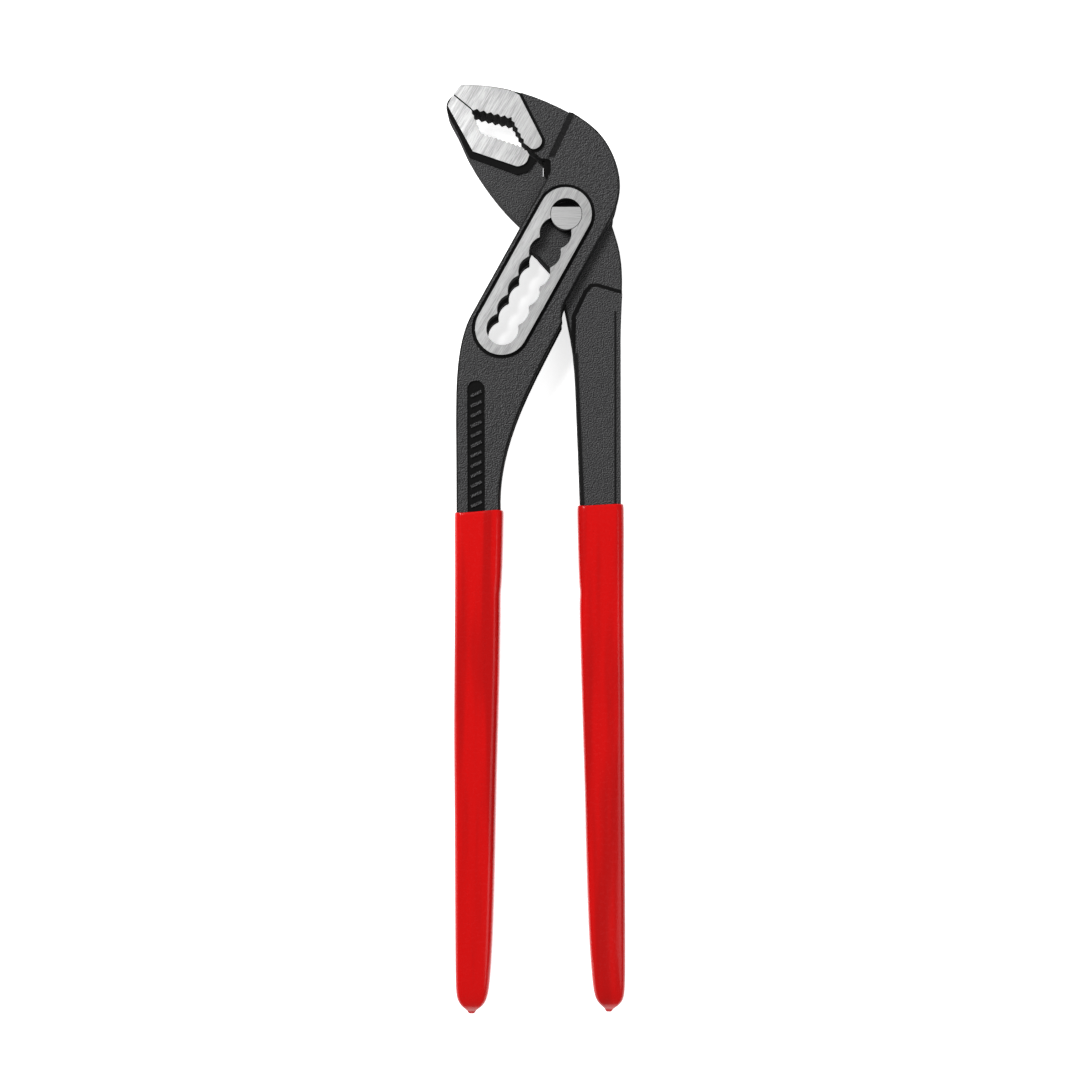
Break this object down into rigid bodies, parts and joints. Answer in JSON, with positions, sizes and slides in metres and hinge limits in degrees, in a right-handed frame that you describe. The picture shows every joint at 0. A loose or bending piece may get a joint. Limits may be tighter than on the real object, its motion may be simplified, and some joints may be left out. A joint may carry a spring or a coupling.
{
  "type": "tongue and groove pliers",
  "caption": "Box-joint adjustable water-pump pliers with black forged halves, bright ground jaws and slot pad, a D-ended pin in a scalloped slot and red dipped grips.",
  "frame": {"origin": "axis of the pivot pin, with the pin in the seat nearest the jaws, at the back ground face the tool lies on", "axes": "+Y runs from the grips towards the jaws, +Z is the thickness, from the back face to the front face, +X runs from the slotted half's grip towards the inner half's grip"},
  "size_m": [0.0575, 0.2997, 0.016],
  "materials": {
    "black_forging": "grainy black oxide over forged steel, ground bright on the jaw faces and round the slot",
    "ground_steel": "ground",
    "red_dip": "glossy dipped vinyl"
  },
  "bodies": {
    "slotted_half_body": {"slotted_half": "black_forging", "slotted_half_grip": "red_dip"},
    "pin_carrier": {"pivot_core": "ground_steel"},
    "inner_half_body": {"inner_half": "black_forging", "pivot_pin": "ground_steel", "inner_half_grip": "red_dip"}
  },
  "joints": [
    {"name": "pin_slide", "type": "slide", "parent": "slotted_half_body", "child": "pin_carrier", "axis": [-0.4863, -0.8738, 0], "range_m": [0, 0.04182]},
    {"name": "handle_pivot", "type": "hinge", "parent": "pin_carrier", "child": "inner_half_body", "pos_m": [0, 0, 0.008], "axis": [0, 0, 1], "range_deg": [0, 65]}
  ]
}
